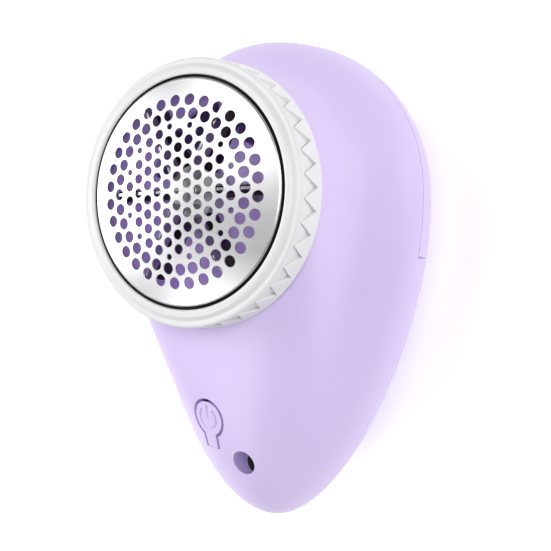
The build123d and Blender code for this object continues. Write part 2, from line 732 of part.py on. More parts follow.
def make_motor_housing():
    """Sleeve that keeps lint away from the motor."""
    sleeve = rod(HOUSING_RADIUS, HOUSING_FOOT - HOUSING_WALL, FLOOR_HEIGHT)
    return sleeve - rod(HOUSING_BORE, HOUSING_FOOT, BIG)


def make_case_screws():
    """Cross-head screws that hold the two shells together from the back."""
    cross = Box(CROSS_LENGTH, CROSS_WIDTH, 2 * CROSS_DEPTH) + Box(CROSS_WIDTH, CROSS_LENGTH, 2 * CROSS_DEPTH)
    foot = SCREW_SEAT - HEAD_HEIGHT
    screws = []
    for x, y in CASE_SCREWS:
        head = rod(HEAD_RADIUS, foot, SCREW_SEAT, x, y) - Pos(x, y, foot) * cross
        screws.append(head + rod(PILOT_RADIUS, SCREW_SEAT, SCREW_END, x, y))
    return Compound(screws)


def lying(radius, low_y, high_y):
    """Cylinder along the handle at the cell's height."""
    shape = Cylinder(radius, high_y - low_y)
    return Pos(0, (low_y + high_y) / 2, CELL_HEIGHT) * Rot(90, 0, 0) * shape


def make_battery_cell():
    """Bare cell with its contact nub."""
    shoulder = CELL_START - CELL_NUB
    return lying(CELL_RADIUS - SLEEVE_WALL, CELL_END, shoulder) + lying(CELL_NUB_RADIUS, shoulder, CELL_START)


def make_battery_sleeve():
    """Shrink film round the cell."""
    bare = lying(CELL_RADIUS - SLEEVE_WALL, -BIG, BIG)
    return lying(CELL_RADIUS, CELL_END, CELL_START - CELL_NUB) - bare


def make_battery_tabs():
    """Nickel strips welded to both ends of the cell."""
    half = TAB_STRIP / 2
    z_range = (CELL_HEIGHT - TAB_DROP, CELL_HEIGHT + CELL_RADIUS)
    head = block((-half, half), (CELL_START, CELL_START + TAB_THICKNESS), z_range)
    tip = block((-half, half), (CELL_END - TAB_THICKNESS, CELL_END), z_range)
    return Compound([head, tip])


def board_posts():
    """Places of the four screws that hold the board."""
    half = BOARD_WIDTH / 2 - POST_INSET
    y_places = (BOARD_START - POST_INSET, BOARD_END + POST_INSET)
    return [(BOARD_X + side * half, y) for side in (-1, 1) for y in y_places]


def board_plate(foot, top):
    """Plate with the board's outline."""
    half = BOARD_WIDTH / 2
    return block((BOARD_X - half, BOARD_X + half), (BOARD_END, BOARD_START), (foot, top))


def make_board_tray():
    """Plate between cell and board, with four posts."""
    plate = board_plate(TRAY_HEIGHT, TRAY_HEIGHT + TRAY_THICKNESS)
    posts = [rod(POST_RADIUS, TRAY_HEIGHT, BOARD_HEIGHT, x, y) for x, y in board_posts()]
    pilots = [rod(PILOT_RADIUS + SCREW_FIT, 0, BIG, x, y) for x, y in board_posts()]
    return joined([plate, *posts]) - pilots


def make_circuit_board():
    """Charging and switching board."""
    pilots = [rod(PILOT_RADIUS + SCREW_FIT, 0, BIG, x, y) for x, y in board_posts()]
    return board_plate(BOARD_HEIGHT, BOARD_TOP) - pilots


def make_board_screws():
    """Four screws into the tray's posts."""
    screws = []
    for x, y in board_posts():
        head = rod(HEAD_RADIUS, BOARD_TOP, BOARD_TOP + HEAD_HEIGHT, x, y)
        screws.append(head + rod(PILOT_RADIUS, TRAY_HEIGHT, BOARD_TOP, x, y))
    return Compound(screws)


def make_switch_body():
    """Body of the push switch, with a well for its plunger."""
    half = SWITCH_SIZE / 2
    sides = [(middle - half, middle + half) for middle in (BUTTON_X, BUTTON_Y)]
    well_foot = SWITCH_TOP - 2 * PLUNGER_ROOT
    well = rod(PLUNGER_RADIUS + PLUNGER_GAP, well_foot, SWITCH_TOP + THROUGH, BUTTON_X, BUTTON_Y)
    return block(*sides, (BOARD_TOP, SWITCH_TOP)) - well


def make_switch_plunger():
    """Plunger that the button's stem presses."""
    return rod(PLUNGER_RADIUS, SWITCH_TOP - PLUNGER_ROOT, PLUNGER_TOP, BUTTON_X, BUTTON_Y)


def make_charge_socket():
    """Round socket for the charging plug, behind the hole in the shell."""
    body = rod(JACK_RADIUS, JACK_TOP - JACK_LENGTH, JACK_TOP, JACK_X, JACK_Y)
    return body - rod(JACK_BORE, JACK_TOP - JACK_DEPTH, BIG, JACK_X, JACK_Y)


PARTS = {
    "front_shell": make_front_shell,
    "power_button": make_power_button,
    "rear_shell": make_rear_shell,
    "lint_bin": make_lint_bin,
    "grip_ring": make_grip_ring,
    "foil": make_foil,
    "foil_retainer": make_foil_retainer,
    "cutter_hub": make_cutter_hub,
    "cutter_blades": make_cutter_blades,
    "hub_cap": make_hub_cap,
    "cutter_spring": make_cutter_spring,
    "drive_collar": make_drive_collar,
    "cutter_chamber": make_cutter_chamber,
    "motor_can": make_motor_can,
    "motor_end_cap": make_motor_end_cap,
    "motor_magnets": make_motor_magnets,
    "motor_armature": make_motor_armature,
    "motor_bush": make_motor_bush,
    "motor_shaft": make_motor_shaft,
    "motor_screws": make_motor_screws,
    "motor_housing": make_motor_housing,
    "case_screws": make_case_screws,
    "battery_cell": make_battery_cell,
    "battery_sleeve": make_battery_sleeve,
    "battery_tabs": make_battery_tabs,
    "board_tray": make_board_tray,
    "circuit_board": make_circuit_board,
    "board_screws": make_board_screws,
    "switch_body": make_switch_body,
    "switch_plunger": make_switch_plunger,
    "charge_socket": make_charge_socket,
}

os.makedirs("parts", exist_ok=True)
for node, make in PARTS.items():
    shape = make()
    shape.label = node
    export_step(shape, f"parts/{node}.step")
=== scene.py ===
import json
import math

import bmesh
import bpy
from bpy.props import FloatProperty, FloatVectorProperty, IntProperty, PointerProperty
from mathutils import Matrix, Vector
from mathutils.bvhtree import BVHTree
from mathutils.interpolate import poly_3d_calc


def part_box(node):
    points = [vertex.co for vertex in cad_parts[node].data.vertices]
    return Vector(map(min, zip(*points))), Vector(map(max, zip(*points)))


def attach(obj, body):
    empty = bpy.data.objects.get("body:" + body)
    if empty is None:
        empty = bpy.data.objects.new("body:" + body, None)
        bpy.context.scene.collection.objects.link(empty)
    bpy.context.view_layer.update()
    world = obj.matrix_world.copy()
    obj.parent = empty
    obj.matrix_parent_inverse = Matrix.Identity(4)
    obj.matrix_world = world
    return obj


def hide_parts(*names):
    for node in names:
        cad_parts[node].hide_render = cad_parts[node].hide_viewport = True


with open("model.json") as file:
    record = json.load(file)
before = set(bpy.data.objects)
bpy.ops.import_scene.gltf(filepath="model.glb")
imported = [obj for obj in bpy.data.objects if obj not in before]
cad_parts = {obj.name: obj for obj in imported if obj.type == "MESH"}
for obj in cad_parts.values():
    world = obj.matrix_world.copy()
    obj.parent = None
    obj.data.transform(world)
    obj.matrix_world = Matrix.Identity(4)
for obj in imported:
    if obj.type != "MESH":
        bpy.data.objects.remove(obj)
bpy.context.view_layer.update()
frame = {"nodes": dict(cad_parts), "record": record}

bl_info = {
    "name": "Fabric shaver",
    "version": (1, 0, 0),
    "blender": (4, 5, 0),
    "location": "View3D > Sidebar > Shaver",
    "description": "Builds the visible pieces of a rechargeable fabric shaver",
    "category": "Add Mesh",
}

MM = 0.001
RING_LOW, RING_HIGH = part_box("grip_ring")
FOIL_LOW, FOIL_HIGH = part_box("foil")
SHELL_LOW, SHELL_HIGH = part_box("front_shell")
RIM_HEIGHT = RING_HIGH.z
# Share of the back dome's depth that is left above the flat
BACK_SHARE = 0.93
# Control point of a quarter circle drawn as one cubic curve
CIRCLE_PULL = 0.5523
# Points of the frame's meshes closer than this are one point
JOIN_DISTANCE = 1e-6
# Neighbouring faces within this many degrees are joined into one
FLAT_ANGLE = 0.5
# Edges sharper than this many degrees stay sharp: plain pieces, skin, ring and foil
PIECE_SHARP = 32
SKIN_SHARP = 30
RING_SHARP = 38
FOIL_SHARP = 35


# ---------------------------------------------------------------- sizes and colours
def length(name, text, value):
    """A size in metres."""
    return FloatProperty(name=name, description=text, default=value, min=0.0, unit="LENGTH", precision=5)


def share(name, text, value, high=1.0):
    """A plain number from 0 upwards."""
    return FloatProperty(name=name, description=text, default=value, min=0.0, soft_max=high)


def colour(name, text, value):
    """A linear colour."""
    return FloatVectorProperty(
        name=name, description=text, default=value, min=0, max=1, subtype="COLOR", size=4
    )


def place(name, text, value):
    """A plain number that may be negative."""
    return FloatProperty(name=name, description=text, default=value)


class SkinSizes(bpy.types.PropertyGroup):
    """Egg-shaped skin of the body."""

    neck: length("Neck", "Radius of the round neck", 28.3 * MM)
    half_width: length("Half width", "Half of the body's greatest width", SHELL_HIGH.x)
    top_reach: length("Top reach", "From the head axis to the round top end", SHELL_HIGH.y)
    tip_reach: length("Tip reach", "From the head axis to the handle's tip", -SHELL_LOW.y)
    widest: length("Widest", "Where the section is widest, from the head axis", 0.8 * MM)
    neck_height: length("Neck height", "Height of the neck's top", 50.5 * MM)
    parting: length("Parting height", "Height of the seam between front and back", SHELL_LOW.z)
    back_depth: length("Back depth", "Depth of the whole back dome", SHELL_LOW.z / BACK_SHARE)
    drop: length("Dome centre", "How far the dome's centre lies towards the tip", 8.0 * MM)
    flare_early: share("Neck flare", "How long the neck stays round", 4.45, 8)
    flare_late: share("Shoulder flare", "How softly the flare ends", 1.38, 8)
    rise_early: share("Top flare", "How long the neck's top side stays straight", 3.2, 8)
    rise_late: share("Top shoulder", "How softly the top side ends", 2.54, 8)
    slope: share("Handle slope", "How fast the handle's front leaves the neck", 2.26, 8)
    top_pull_x: share("Top roundness across", "Pull of the section's top curve", 0.507)
    top_pull_y: share("Top roundness along", "Pull of the section's upper side", 0.61)
    tip_pull_y: share("Tip roundness along", "Pull of the section's lower side", 0.46)
    tip_pull_x: share("Tip roundness across", "Pull of the section's tip", 0.387)
    edge: length("Longest edge", "Longest mesh edge on the skin", 1.6 * MM)


class ButtonSizes(bpy.types.PropertyGroup):
    """Keyhole-shaped power button."""

    across: place("Across", "Centre from the head axis, sideways", -6.4 * MM)
    along: place("Along", "Centre from the head axis, lengthwise", -51.2 * MM)
    turn: place("Turn", "Turn of the tongue in degrees", -9.0)
    reach: length("Reach", "From the centre to the tongue's root", 7.0 * MM)
    root_gap: length("Root gap", "Gap that is closed at the root", 0.2 * MM)


class RingSizes(bpy.types.PropertyGroup):
    """White grip ring with its saw-tooth step."""

    teeth: IntProperty(name="Teeth", description="Teeth around the ring", default=36, min=3)
    radius: length("Radius", "Outside of the ring", RING_HIGH.x)
    bore: length("Bore", "Inside of the ring", 27.5 * MM)
    lip: length("Lip", "Radius of the opening round the foil", 26.2 * MM)
    foot: length("Foot", "Height of the ring's rear edge", RING_LOW.z)
    top: length("Top", "Height of the ring's lip", RIM_HEIGHT)
    tooth_front: length("Tooth roots", "Height of the step's front corners", 57.7 * MM)
    tooth_rear: length("Tooth tips", "Height of the step's rear corners", 52.5 * MM)
    tooth_depth: length("Tooth depth", "Depth of the step at its rear corners", 0.85 * MM)
    root_depth: length("Root depth", "Depth of the step at its front corners", 0.22 * MM)
    groove: length("Groove", "Depth of the line cut along the step", 0.16 * MM)
    gap_top: length("Gap top", "Height below which the wall of the opening is in shadow", 59.5 * MM)
    columns: IntProperty(name="Columns", description="Mesh columns in one tooth", default=12, min=2)


class FoilSizes(bpy.types.PropertyGroup):
    """Domed and perforated steel foil."""

    radius: length("Radius", "Outside of the foil's skirt", 25.6 * MM)
    rise: length("Rise", "Height of the dome above the rim", FOIL_HIGH.z - RIM_HEIGHT)
    sheet: length("Sheet", "Thickness of the sheet", 0.3 * MM)
    roll: length("Roll", "Radius of the rolled rim", 0.7 * MM)
    flange: length("Flange", "Radius of the flange", FOIL_HIGH.x)
    foot: length("Foot", "Height of the flange's underside", FOIL_LOW.z)
    gap_top: length("Gap top", "Height below which the foil's edge is in shadow", 59.75 * MM)
    pitch: length("Pitch", "Distance between neighbouring holes", 3.217 * MM)
    middle_hole: length("Middle holes", "Diameter in the middle field", 2.25 * MM)
    small_hole: length("Small holes", "Diameter of the centre and corner holes", 1.4 * MM)
    ring_hole: length("Ring holes", "Diameter in the two outer rings", 2.65 * MM)
    outer_circle: length("Outer circle", "Radius of the outer ring of holes", 20.41 * MM)
    inner_circle: length("Inner circle", "Radius of the inner ring of holes", 17.35 * MM)
    ring_count: IntProperty(name="Ring count", description="Holes in each ring", default=32, min=3)


class CutterSizes(bpy.types.PropertyGroup):
    """Cutter behind the foil."""

    hub_radius: length("Hub", "Radius of the hub's white middle", 6.1 * MM)


class Finishes(bpy.types.PropertyGroup):
    """Colours of the materials."""

    lilac: colour("Lilac", "Soft-touch body", (0.72, 0.60, 0.93, 1))
    white: colour("White", "Grip ring", (0.80, 0.80, 0.805, 1))
    foil: colour("Foil", "Brushed foil", (0.82, 0.82, 0.83, 1))
    steel: colour("Steel", "Blades and screws", (0.46, 0.45, 0.45, 1))
    hub: colour("Hub", "Cutter hub", (0.80, 0.79, 0.80, 1))
    arms: colour("Arms", "Cutter arms", (0.03, 0.010, 0.012, 1))
    # Colour of the lint chamber's painted glow, which stands in for light bounced inside the chamber
    chamber: colour("Chamber", "Light passed on by the lint chamber's wall", (0.55, 0.28, 1.0, 1))
    shadow: colour("Shadow", "Black plastic", (0.012, 0.012, 0.014, 1))


class StageSettings(bpy.types.PropertyGroup):
    """Floor, lights and camera."""

    azimuth: place("Azimuth", "Camera round the body's length, in degrees", 33.7)
    elevation: place("Elevation", "Camera towards the top end, in degrees", -1.85)
    distance: length("Distance", "Camera to its target", 355 * MM)
    shift_right: length("Target right", "Target from the head axis, to the camera's right", 20.03 * MM)
    shift_up: length("Target down", "Target from the head axis, downwards for the camera", 18.59 * MM)
    lens: place("Lens", "Focal length in millimetres", 104.54)
    sensor: place("Sensor", "Width of the sensor in millimetres", 36.0)
    floor_radius: length("Floor radius", "Half of the round floor's width", 3.0)
    floor_glow: share("Floor glow", "Light given off by the floor", 0.3)
    sky: share("Surroundings", "Light from all around", 0.137)
    box_size: length("Soft box", "Side of each soft box", 0.5)
    floor: colour("Floor", "Pale floor", (0.93, 0.93, 0.93, 1))


GROUPS = {
    "shaver_skin": SkinSizes,
    "shaver_button": ButtonSizes,
    "shaver_ring": RingSizes,
    "shaver_foil": FoilSizes,
    "shaver_cutter": CutterSizes,
    "shaver_finish": Finishes,
    "shaver_stage": StageSettings,
}


# ---------------------------------------------------------------- node helpers
def add(tree, kind, where=None, **values):
    """New node with its settings; `where` gives a value or a link for each socket."""
    node = tree.nodes.new(kind)
    for key, value in values.items():
        setattr(node, key, value)
    for key, value in (where or {}).items():
        socket = node.inputs[key]
        if isinstance(value, bpy.types.NodeSocket):
            tree.links.new(value, socket)
        else:
            socket.default_value = value
    return node


def maths(tree, operation, first, second):
    """Result of one arithmetic node."""
    return add(tree, "ShaderNodeMath", {0: first, 1: second}, operation=operation).outputs[0]


def around_zero(tree, noise, amount):
    """A noise from 0 to 1 as a swing about zero."""
    return maths(tree, "MULTIPLY", maths(tree, "SUBTRACT", noise, 0.5), amount)


def new_group(name, kind, inputs, outputs):
    """Node group with its sockets; returns the tree and its input node."""
    tree = bpy.data.node_groups.new(name, kind)
    for label, socket, default in inputs:
        made = tree.interface.new_socket(label, in_out="INPUT", socket_type=socket)
        if default is not None:
            made.default_value = default
    for label, socket in outputs:
        tree.interface.new_socket(label, in_out="OUTPUT", socket_type=socket)
    return tree, tree.nodes.new("NodeGroupInput")


def finish_tree(tree, geometry, given):
    """Ends a Geometry Nodes tree with its material."""
    values = {"Geometry": geometry, "Material": given.outputs["Material"]}
    painted = add(tree, "GeometryNodeSetMaterial", values)
    add(tree, "NodeGroupOutput", {"Geometry": painted.outputs[0]})
    return tree


def set_input(modifier, label, value):
    """Sets a Geometry Nodes input by the identifier of its socket."""
    for item in modifier.node_group.interface.items_tree:
        if item.item_type == "SOCKET" and item.in_out == "INPUT" and item.name == label:
            modifier[item.identifier] = value
            return
    raise RuntimeError(f"the tree has no input named {label}")


# ---------------------------------------------------------------- shader groups
def grain_group():
    """Spark-eroded texture of a moulding: a fine pebble height and a roughness that drifts."""
    tree, given = new_group(
        "Moulding grain",
        "ShaderNodeTree",
        [
            ("Scale", "NodeSocketFloat", 2500.0),
            ("Roughness", "NodeSocketFloat", 0.45),
            ("Drift", "NodeSocketFloat", 0.05),
        ],
        [("Height", "NodeSocketFloat"), ("Roughness", "NodeSocketFloat")],
    )
    spot = add(tree, "ShaderNodeTexCoord").outputs["Object"]
    scale = given.outputs["Scale"]
    pebble = add(tree, "ShaderNodeTexVoronoi", {"Vector": spot, "Scale": scale}, feature="SMOOTH_F1")
    cloud = add(tree, "ShaderNodeTexNoise", {"Vector": spot, "Scale": scale, "Detail": 3.0})
    height = maths(tree, "ADD", pebble.outputs["Distance"], cloud.outputs["Fac"])
    patch = add(tree, "ShaderNodeTexNoise", {"Vector": spot, "Scale": 60.0, "Detail": 4.0}).outputs["Fac"]
    swing = around_zero(tree, patch, given.outputs["Drift"])
    rough = maths(tree, "ADD", given.outputs["Roughness"], swing)
    add(tree, "NodeGroupOutput", {"Height": height, "Roughness": rough})
    return tree


def tone_group():
    """Slight drift of a colour over the piece, as pigment settles in a moulding."""
    tree, given = new_group(
        "Tone drift",
        "ShaderNodeTree",
        [
            ("Color", "NodeSocketColor", (0.8, 0.8, 0.8, 1)),
            ("Amount", "NodeSocketFloat", 0.03),
            ("Scale", "NodeSocketFloat", 25.0),
        ],
        [("Color", "NodeSocketColor")],
    )
    spot = add(tree, "ShaderNodeTexCoord").outputs["Object"]
    scale = given.outputs["Scale"]
    cloud = add(tree, "ShaderNodeTexNoise", {"Vector": spot, "Scale": scale, "Detail": 5.0}).outputs["Fac"]
    swing = around_zero(tree, cloud, given.outputs["Amount"])
    value = maths(tree, "ADD", swing, 1.0)
    shade = add(tree, "ShaderNodeHueSaturation", {"Color": given.outputs["Color"], "Value": value})
    add(tree, "NodeGroupOutput", {"Color": shade.outputs["Color"]})
    return tree


def brush_group():
    """Fine straight brush lines on metal."""
    tree, given = new_group(
        "Brush lines",
        "ShaderNodeTree",
        [
            ("Stretch", "NodeSocketVector", (60.0, 2400.0, 60.0)),
            ("Roughness", "NodeSocketFloat", 0.3),
            ("Drift", "NodeSocketFloat", 0.12),
        ],
        [("Height", "NodeSocketFloat"), ("Roughness", "NodeSocketFloat")],
    )
    spot = add(tree, "ShaderNodeTexCoord").outputs["Object"]
    drawn = add(tree, "ShaderNodeMapping", {"Vector": spot, "Scale": given.outputs["Stretch"]}).outputs[0]
    lines = add(tree, "ShaderNodeTexNoise", {"Vector": drawn, "Scale": 1.0, "Detail": 4.0}).outputs["Fac"]
    swing = around_zero(tree, lines, given.outputs["Drift"])
    rough = maths(tree, "ADD", given.outputs["Roughness"], swing)
    add(tree, "NodeGroupOutput", {"Height": lines, "Roughness": rough})
    return tree


SHADER_GROUPS = {"Moulding grain": grain_group, "Tone drift": tone_group, "Brush lines": brush_group}


def grouped(tree, name, **values):
    """A node that holds a shared group, made on its first use, with the group's inputs set."""
    node = tree.nodes.new("ShaderNodeGroup")
    node.node_tree = bpy.data.node_groups.get(name) or SHADER_GROUPS[name]()
    for key, value in values.items():
        node.inputs[key].default_value = value
    return node


def surface(name, **plain):
    """New material; returns it, its tree and its shader. Spaces in socket names are written as _."""
    material = bpy.data.materials.new(name)
    material.use_nodes = True
    shader = material.node_tree.nodes["Principled BSDF"]
    for key, value in plain.items():
        shader.inputs[key.replace("_", " ")].default_value = value
    return material, material.node_tree, shader


def textured(made, shade, texture, strength, depth):
    """Joins a colour and a texture to a material's shader; the depth is in millimetres."""
    material, tree, shader = made
    height = {"Height": texture.outputs["Height"], "Strength": strength, "Distance": depth * MM}
    tree.links.new(shade.outputs["Color"], shader.inputs["Base Color"])
    tree.links.new(texture.outputs["Roughness"], shader.inputs["Roughness"])
    tree.links.new(add(tree, "ShaderNodeBump", height).outputs["Normal"], shader.inputs["Normal"])
    return material


def moulded(name, tint, roughness, grain=2500.0, depth=0.02, tone=0.03, drift=0.06, **plain):
    """Injection-moulded plastic."""
    made = surface(name, **plain)
    shade = grouped(made[1], "Tone drift", Color=tint, Amount=tone)
    texture = grouped(made[1], "Moulding grain", Scale=grain, Roughness=roughness, Drift=drift)
    return textured(made, shade, texture, strength=0.25, depth=depth)


def brushed(name, tint, roughness, stretch=(60.0, 2400.0, 60.0), depth=0.01, tone=0.04):
    """Brushed or ground metal."""
    made = surface(name, Metallic=1.0)
    shade = grouped(made[1], "Tone drift", Color=tint, Amount=tone, Scale=60.0)
    texture = grouped(made[1], "Brush lines", Stretch=stretch, Roughness=roughness)
    return textured(made, shade, texture, strength=0.2, depth=depth)


def finish_materials():
    """Every shared material, made once: by the record's slot, and two for shaded places: a painted glow for
    the lint chamber and a painted shadow for the gap.
    """
    made = bpy.context.scene.get("shaver_materials")
    if made:
        return {slot: bpy.data.materials[name] for slot, name in made.items()}
    tints = bpy.context.scene.shaver_finish
    lilac, white = tuple(tints.lilac), tuple(tints.white)
    black, steel = tuple(tints.shadow), tuple(tints.steel)
    satin = {"Coat_Weight": 0.08, "Coat_Roughness": 0.35}
    # Painted glow: the lint chamber's wall gives off a weak light of its own
    glow = {"Emission_Color": tuple(tints.chamber), "Emission_Strength": 0.075}
    materials = {
        "lilac_plastic": moulded("Soft-touch lilac", lilac, 0.42, 3200.0, depth=0.012, tone=0.02, **satin),
        "white_plastic": moulded("Gloss white", white, 0.3, 1800.0, depth=0.006, tone=0.02, drift=0.04),
        "hub_plastic": moulded("Hub white", tuple(tints.hub), 0.35),
        "black_plastic": moulded("Black housing", black, 0.5, tone=0.2),
        "chamber": moulded("Chamber lilac painted glow", lilac, 0.42, **glow),
        # Painted shadow: black for the faces deep in the gap between foil and ring
        "gap": moulded("Painted gap shadow", black, 0.7),
        "foil_steel": brushed("Brushed foil", tuple(tints.foil), 0.38),
        "blade_steel": brushed("Ground blade", steel, 0.22, (300.0, 300.0, 4000.0)),
        "spring_steel": brushed("Drawn wire", steel, 0.3, (900.0, 900.0, 900.0)),
        "screw_steel": brushed("Zinc plate", (0.52, 0.52, 0.54, 1), 0.32, (700.0, 700.0, 200.0)),
        "motor_steel": brushed("Drawn can", (0.56, 0.56, 0.57, 1), 0.3, (200.0, 200.0, 2000.0)),
        "magnet_ferrite": moulded("Ferrite", (0.03, 0.03, 0.032, 1), 0.7, grain=1500.0, depth=0.05),
        "copper_winding": brushed("Copper wire", (0.72, 0.30, 0.13, 1), 0.3, (400.0, 400.0, 4500.0)),
        "bronze": brushed("Sintered bronze", (0.55, 0.36, 0.17, 1), 0.45, (1500.0, 1500.0, 1500.0)),
        "cell_metal": brushed("Nickel can", (0.60, 0.59, 0.57, 1), 0.25),
        "cell_wrap": moulded("Shrink film", (0.02, 0.08, 0.30, 1), 0.25, depth=0.004, tone=0.1),
        "nickel": brushed("Nickel strip", (0.62, 0.60, 0.55, 1), 0.28),
        "board_green": moulded("Solder mask", (0.01, 0.11, 0.04, 1), 0.3, 900.0, depth=0.01, tone=0.2),
    }
    bpy.context.scene["shaver_materials"] = {slot: made.name for slot, made in materials.items()}
    return materials


def slot_of(node):
    """The record's material slot of a CAD node."""
    for part in frame["record"]["subparts"]:
        if part["node"] == node:
            return part["material_slot"]
    raise RuntimeError(f"the record has no part named {node}")


def body_of(node):
    """The body that holds a CAD node."""
    for body, nodes in frame["record"]["behaviour"]["bodies"].items():
        if node in nodes:
            return body
    raise RuntimeError(f"no body holds {node}")


def keep(piece, node):
    """Puts a finished piece in place of a CAD node, on its body and in its finish."""
    slot = slot_of(node)
    if not piece.data.materials:
        piece.data.materials.append(finish_materials()[slot])
    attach(piece, body_of(node))
    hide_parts(node)
    return piece


def new_object(name, mesh):
    """An object at the origin that shows a mesh."""
    piece = bpy.data.objects.new(name, mesh)
    bpy.context.scene.collection.objects.link(piece)
    return piece


def plain_mesh(piece):
    """Turns the evaluated piece into a plain mesh and removes its modifiers."""
    graph = bpy.context.evaluated_depsgraph_get()
    mesh = bpy.data.meshes.new_from_object(piece.evaluated_get(graph))
    piece.modifiers.clear()
    piece.data = mesh
    mesh.name = piece.name
    return mesh


def outward(mesh):
    """Turns every face outwards."""
    build = bmesh.new()
    build.from_mesh(mesh)
    bmesh.ops.recalc_face_normals(build, faces=build.faces)
    build.to_mesh(mesh)
    build.free()


def smooth_by_angle(mesh, degrees):
    """Smooth shading with the sharper edges kept."""
    mesh.shade_smooth()
    mesh.set_sharp_from_angle(angle=math.radians(degrees))


# ---------------------------------------------------------------- body skin
def ramp(part, early, late):
    """Rises from 0 to 1; each number says how long the curve stays near that end."""
    rising = part**early
    return rising / (rising + (1 - part) ** late)


def bezier(points, part):
    """Point of a cubic curve."""
    a, b, c, d = points
    left = 1 - part
    return a * left**3 + b * 3 * left**2 * part + c * 3 * left * part**2 + d * part**3


def section(half_width, top, widest, tip, pulls, height, steps):
    """Points round one egg-shaped section, from the top over the right side."""
    top_x, top_y, tip_y, tip_x = pulls
    side = Vector((half_width, widest))
    upper = [
        Vector((0, top)),
        Vector((top_x * half_width, top)),
        Vector((half_width, widest + top_y * (top - widest))),
        side,
    ]
    lower = [
        side,
        Vector((half_width, widest + tip_y * (tip - widest))),
        Vector((tip_x * half_width, tip)),
        Vector((0, tip)),
    ]
    right = [bezier(curve, i / steps) for curve in (upper, lower) for i in range(steps)]
    right.append(Vector((0, tip)))
    left = [Vector((-p.x, p.y)) for p in reversed(right[1:-1])]
    return [Vector((p.x, p.y, height)) for p in right + left]


def skin_rings(sizes, steps=60, front=120, back=60):
    """Every section of the skin, from the neck's top down to the flat."""
    target = (sizes.top_pull_x, sizes.top_pull_y, sizes.tip_pull_y, sizes.tip_pull_x)
    rings = []
    for i in range(front + 1):
        part = i / front
        flare = ramp(part, sizes.flare_early, sizes.flare_late)
        rise = ramp(part, sizes.rise_early, sizes.rise_late)
        slope = 1 - (1 - part) ** sizes.slope
        rings.append(
            section(
                sizes.neck + (sizes.half_width - sizes.neck) * flare,
                sizes.neck + (sizes.top_reach - sizes.neck) * rise,
                sizes.widest * flare,
                -sizes.neck - (sizes.tip_reach - sizes.neck) * slope,
                [CIRCLE_PULL + (pull - CIRCLE_PULL) * part for pull in target],
                sizes.neck_height - (sizes.neck_height - sizes.parting) * part,
                steps,
            )
        )
    centre = sizes.widest - sizes.drop
    for i in range(1, back + 1):
        part = BACK_SHARE * math.sin(math.pi / 2 * i / back)
        shrink = math.sqrt(1 - part**2)
        rings.append(
            section(
                sizes.half_width * shrink,
                centre + (sizes.top_reach - centre) * shrink,
                centre + (sizes.widest - centre) * shrink,
                centre + (-sizes.tip_reach - centre) * shrink,
                target,
                sizes.parting - sizes.back_depth * part,
                steps,
            )
        )
    return rings


class SkinReference:
    """The ideal skin as a dense surface that answers with a place and a smooth normal."""

    def __init__(self, sizes):
        rings = skin_rings(sizes)
        count = len(rings[0])
        points = [point for ring in rings for point in ring]
        faces = []
        for i in range(len(rings) - 1):
            for j in range(count):
                k = (j + 1) % count
                faces.append((i * count + j, (i + 1) * count + j, (i + 1) * count + k, i * count + k))
        mesh = bpy.data.meshes.new("skin_reference")
        mesh.from_pydata(points, [], faces)
        self.normals = [v.normal.copy() for v in mesh.vertices]
        if self.normals[count // 4].x < 0:
            self.normals = [-n for n in self.normals]
        bpy.data.meshes.remove(mesh)
        self.points, self.faces = points, faces
        self.tree = BVHTree.FromPolygons(points, faces)

    def nearest(self, point):
        """Nearest place on the skin, the skin's normal there and the distance."""
        spot, _, index, distance = self.tree.find_nearest(point)
        face = self.faces[index]
        weights = poly_3d_calc([self.points[i] for i in face], spot)
        normal = Vector((0, 0, 0))
        for weight, i in zip(weights, face):
            normal += weight * self.normals[i]
        return spot, normal.normalized(), distance


# A face belongs to the skin if it is this close to it and faces the same way
SKIN_TOLERANCE = 0.22 * MM
SKIN_FACING = 0.9
# Points this close to the flat or to the parting line keep their height
FLAT_MARGIN = 0.05 * MM
SEAM_MARGIN = 0.3 * MM
# How often the skin's edges are halved at most
SKIN_PASSES = 5
# Points of the button this many root gaps from its root, or closer, move to the shell
ROOT_REACH = 1.2


def on_skin(face, answers):
    """Whether a face belongs to the outer skin."""
    for vert in face.verts:
        _, normal, distance = answers[vert]
        if distance > SKIN_TOLERANCE or normal.dot(face.normal) < SKIN_FACING:
            return False
    return True


def outer_faces(build, reference):
    """The skin's answer for every point, and the faces that belong to the skin."""
    answers = {v: reference.nearest(v.co) for v in build.verts}
    build.normal_update()
    return answers, [f for f in build.faces if on_skin(f, answers)]


def close_root(build, sizes):
    """Lengthens the button's tongue to the shell, as its root is one with it."""
    turn = math.radians(sizes.turn)
    ahead = Vector((math.sin(turn), -math.cos(turn)))
    middle = Vector((sizes.across, sizes.along))
    root = sizes.reach - ROOT_REACH * sizes.root_gap
    for vert in build.verts:
        if (vert.co.xy - middle).dot(ahead) > root:
            vert.co.x += ahead.x * sizes.root_gap
            vert.co.y += ahead.y * sizes.root_gap


